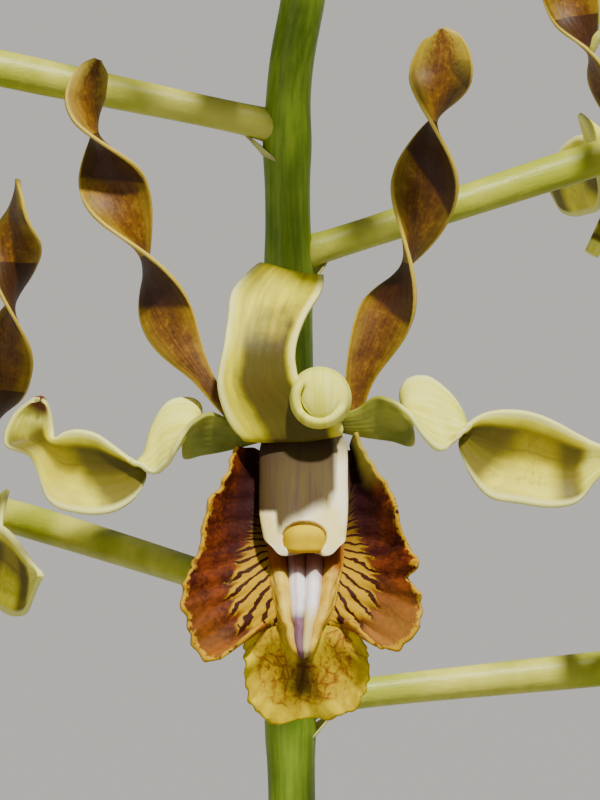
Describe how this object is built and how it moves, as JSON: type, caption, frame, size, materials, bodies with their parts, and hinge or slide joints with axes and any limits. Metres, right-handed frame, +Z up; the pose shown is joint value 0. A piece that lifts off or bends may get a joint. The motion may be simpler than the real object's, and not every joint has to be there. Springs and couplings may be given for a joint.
{
  "type": "potted orchid",
  "caption": "Potted antelope orchid with leafy canes and an upright stem of twisted-petal flowers, in a plain terracotta pot of bark.",
  "frame": {"origin": "centre of the pot foot, on the surface it stands on", "axes": "+Z up along the flower stem; -Y is the side that the pictured flower faces"},
  "size_m": [0.1493, 0.1462, 0.6108],
  "materials": {
    "terracotta": "matt, unglazed",
    "bark": "rough, dry",
    "leaf_green": "leathery leaf and cane, soft sheen",
    "green_stem": "fresh plant tissue, soft sheen",
    "pale_sepal": "waxy petal tissue",
    "brown_petal": "glossy, waxy petal tissue",
    "brown_yellow_lip": "waxy petal tissue with dark stripes",
    "white_column": "waxy, slightly translucent",
    "yellow_cap": "waxy"
  },
  "bodies": {
    "root": {"pot": "terracotta", "potting_bark": "bark", "leafy_cane_flowering": "leaf_green", "leafy_cane_left": "leaf_green", "leafy_cane_right": "leaf_green", "leafy_cane_front": "leaf_green", "leafy_cane_back": "leaf_green", "flower_stem": "green_stem", "main_dorsal_sepal": "pale_sepal", "main_lateral_sepal_left": "pale_sepal", "main_lateral_sepal_right": "pale_sepal", "main_petal_left": "brown_petal", "main_petal_right": "brown_petal", "main_lip": "brown_yellow_lip", "main_column": "white_column", "main_anther_cap": "yellow_cap", "bloom_1_sepals": "pale_sepal", "bloom_1_petal_left": "brown_petal", "bloom_1_petal_right": "brown_petal", "bloom_1_lip": "brown_yellow_lip", "bloom_2_sepals": "pale_sepal", "bloom_2_petal_left": "brown_petal", "bloom_2_petal_right": "brown_petal", "bloom_2_lip": "brown_yellow_lip", "bloom_3_sepals": "pale_sepal", "bloom_3_petal_left": "brown_petal", "bloom_3_petal_right": "brown_petal", "bloom_3_lip": "brown_yellow_lip", "bloom_4_sepals": "pale_sepal", "bloom_4_petal_left": "brown_petal", "bloom_4_petal_right": "brown_petal", "bloom_4_lip": "brown_yellow_lip", "bloom_5_sepals": "pale_sepal", "bloom_5_petal_left": "brown_petal", "bloom_5_petal_right": "brown_petal", "bloom_5_lip": "brown_yellow_lip", "bloom_6_sepals": "pale_sepal", "bloom_6_petal_left": "brown_petal", "bloom_6_petal_right": "brown_petal", "bloom_6_lip": "brown_yellow_lip", "bloom_7_sepals": "pale_sepal", "bloom_7_petal_left": "brown_petal", "bloom_7_petal_right": "brown_petal", "bloom_7_lip": "brown_yellow_lip", "bloom_8_sepals": "pale_sepal", "bloom_8_petal_left": "brown_petal", "bloom_8_petal_right": "brown_petal", "bloom_8_lip": "brown_yellow_lip", "bloom_9_sepals": "pale_sepal", "bloom_9_petal_left": "brown_petal", "bloom_9_petal_right": "brown_petal", "bloom_9_lip": "brown_yellow_lip"}
  },
  "joints": []
}
